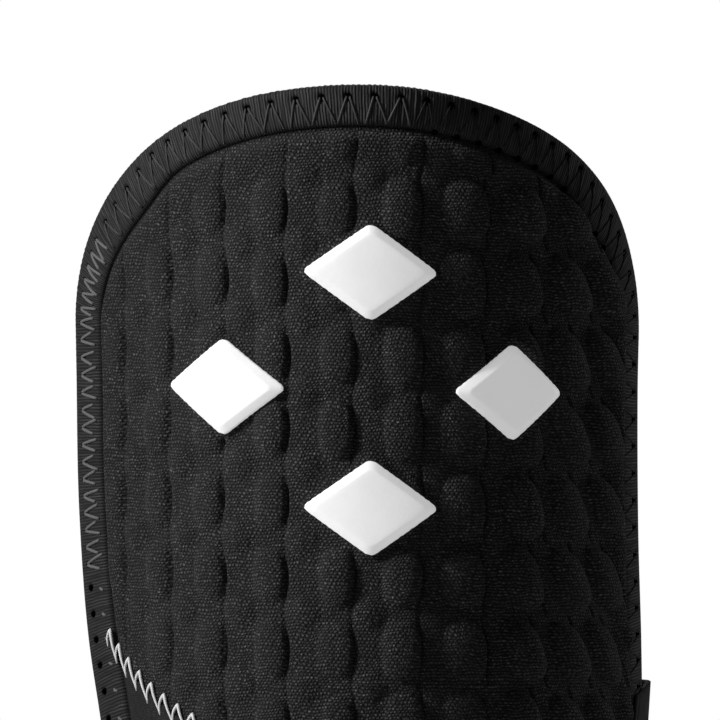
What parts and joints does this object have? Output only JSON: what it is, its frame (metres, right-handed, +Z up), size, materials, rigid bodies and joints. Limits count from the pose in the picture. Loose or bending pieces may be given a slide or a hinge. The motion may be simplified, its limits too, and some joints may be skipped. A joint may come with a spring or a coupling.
{
  "type": "batters leg guard",
  "caption": "Curved padded shin guard for a batter, with a quilted shell, bound edge, smooth lower panel, raised emblem and elastic straps behind the calf.",
  "frame": {"origin": "on the floor under the middle of the guard's box, with the guard standing on its lower hem", "axes": "+Z up the shin, front face towards -Y, the wearer's leg behind it at +Y, +X to the right as seen from the front"},
  "size_m": [0.1556, 0.1094, 0.33],
  "materials": {
    "quilted_knit": "black fine knit over quilted foam, with small light glints",
    "binding_tape": "black ribbed edge tape sewn with a zigzag stitch",
    "smooth_knit": "black smooth knit",
    "white_emblem": "white moulded rubber, satin, bevelled",
    "strap_elastic": "black woven elastic",
    "hook_tab": "black hook-and-loop tab",
    "zigzag_thread": "white sewing thread",
    "binding_thread": "dark grey sewing thread"
  },
  "bodies": {
    "root": {"quilted_shell": "quilted_knit", "edge_binding": "binding_tape", "lower_panel": "smooth_knit", "emblem_top": "white_emblem", "emblem_left": "white_emblem", "emblem_right": "white_emblem", "emblem_bottom": "white_emblem", "calf_strap": "strap_elastic", "calf_strap_tab": "hook_tab", "ankle_strap": "strap_elastic", "ankle_strap_tab": "hook_tab"}
  },
  "joints": []
}
